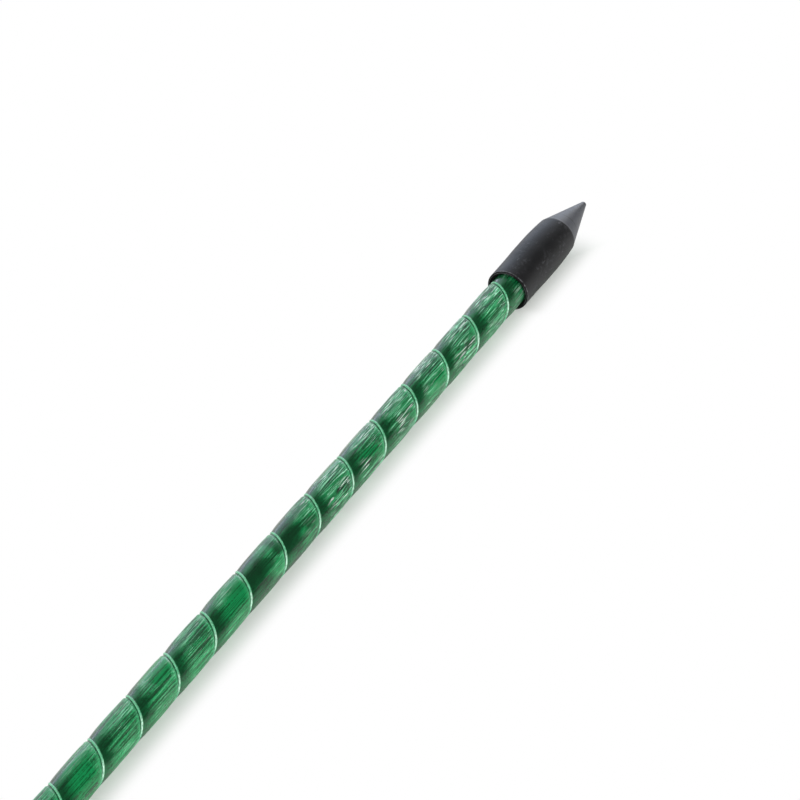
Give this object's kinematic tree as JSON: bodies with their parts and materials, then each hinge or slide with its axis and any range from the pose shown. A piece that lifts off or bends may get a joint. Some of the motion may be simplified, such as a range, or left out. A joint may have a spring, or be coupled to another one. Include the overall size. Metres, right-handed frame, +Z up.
{
  "type": "plant stake",
  "caption": "Straight green fibreglass rod with a thread wound along it, a black push-on ground point at one end and a black push-on cap at the other, for holding up a plant.",
  "frame": {"origin": "on the surface that the stake lies on, under the middle of its length", "axes": "+X along the stake towards the ground point, +Z up from the surface it lies on"},
  "size_m": [0.6204, 0.0106, 0.0106],
  "materials": {
    "rod_resin": "green-tinted glass fibre and resin, streaked along its length, satin to gloss",
    "winding_thread": "pale green thread under a thin coat of resin",
    "point_plastic": "black moulded plastic, matt on the sleeve and smoother on the nose, lightly scuffed",
    "cap_plastic": "black moulded plastic, matt, lightly scuffed"
  },
  "bodies": {
    "stake": {"rod": "rod_resin", "winding_thread": "winding_thread"},
    "point": {"ground_point": "point_plastic"},
    "cap": {"top_cap": "cap_plastic"}
  },
  "joints": [
    {"name": "point_pull_off", "type": "slide", "parent": "stake", "child": "point", "axis": [1, 0, 0], "range_m": [0, 0.026]},
    {"name": "cap_pull_off", "type": "slide", "parent": "stake", "child": "cap", "axis": [-1, 0, 0], "range_m": [0, 0.022]}
  ]
}
